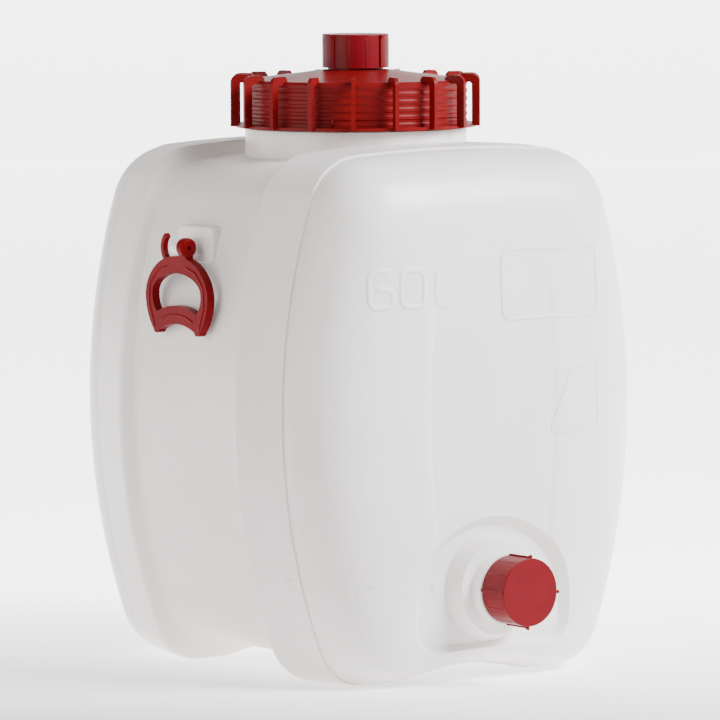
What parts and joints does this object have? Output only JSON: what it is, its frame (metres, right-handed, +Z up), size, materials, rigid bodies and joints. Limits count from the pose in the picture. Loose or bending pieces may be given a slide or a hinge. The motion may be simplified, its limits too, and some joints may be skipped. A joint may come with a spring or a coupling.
{
  "type": "plastic drum",
  "caption": "Barrel-sided upright plastic storage drum with a wide screw lid, a vent cap, a front outlet with a cap, and swinging carry handles on its sides.",
  "frame": {"origin": "on the floor, straight under the middle of the neck", "axes": "+Z up along the neck, the outlet looks along -Y, the carry handles are on -X and +X"},
  "size_m": [0.4274, 0.4753, 0.594],
  "materials": {
    "tank_plastic": "satin natural polyethylene, slightly milky",
    "lid_plastic": "semi-gloss red",
    "cap_plastic": "semi-gloss red",
    "handle_plastic": "semi-gloss red",
    "seal_rubber": "soft pale seal"
  },
  "bodies": {
    "tank": {"drum_body": "tank_plastic"},
    "lid_seal": {"lid_gasket": "seal_rubber"},
    "lid": {"screw_lid": "lid_plastic"},
    "vent_seal": {"vent_cap_gasket": "seal_rubber"},
    "vent_plug": {"vent_cap": "cap_plastic"},
    "outlet_seal": {"outlet_cap_gasket": "seal_rubber"},
    "outlet_plug": {"outlet_cap": "cap_plastic"},
    "grip_left": {"handle_left": "handle_plastic"},
    "grip_right": {"handle_right": "handle_plastic"}
  },
  "joints": [
    {"name": "lid_rise", "type": "slide", "parent": "tank", "child": "lid_seal", "axis": [0, 0, 1], "range_m": [0, 0.0452]},
    {"name": "lid_turn", "type": "hinge", "parent": "lid_seal", "child": "lid", "pos_m": [0, 0, 0.507], "axis": [0, 0, 1], "range_deg": [0, 1800]},
    {"name": "vent_rise", "type": "slide", "parent": "lid", "child": "vent_seal", "axis": [0, 0, 1], "range_m": [0, 0.0302]},
    {"name": "vent_turn", "type": "hinge", "parent": "vent_seal", "child": "vent_plug", "pos_m": [0, 0, 0.5625], "axis": [0, 0, 1], "range_deg": [0, 2160]},
    {"name": "outlet_rise", "type": "slide", "parent": "tank", "child": "outlet_seal", "axis": [0, -1, 0], "range_m": [0, 0.0302]},
    {"name": "outlet_turn", "type": "hinge", "parent": "outlet_seal", "child": "outlet_plug", "pos_m": [0, -0.2325, 0.0886], "axis": [0, -1, 0], "range_deg": [0, 2160]},
    {"name": "handle_left_swing", "type": "hinge", "parent": "tank", "child": "grip_left", "pos_m": [-0.2045, 0, 0.401], "axis": [0, 1, 0], "range_deg": [-2, 170]},
    {"name": "handle_right_swing", "type": "hinge", "parent": "tank", "child": "grip_right", "pos_m": [0.2045, 0, 0.401], "axis": [0, -1, 0], "range_deg": [-2, 170]}
  ],
  "couplings": [
    {"joint": "lid_rise", "follows": "lid_turn", "m_per_rad": 0.0014324},
    {"joint": "vent_rise", "follows": "vent_turn", "m_per_rad": 0.00079577},
    {"joint": "outlet_rise", "follows": "outlet_turn", "m_per_rad": 0.00079577}
  ]
}
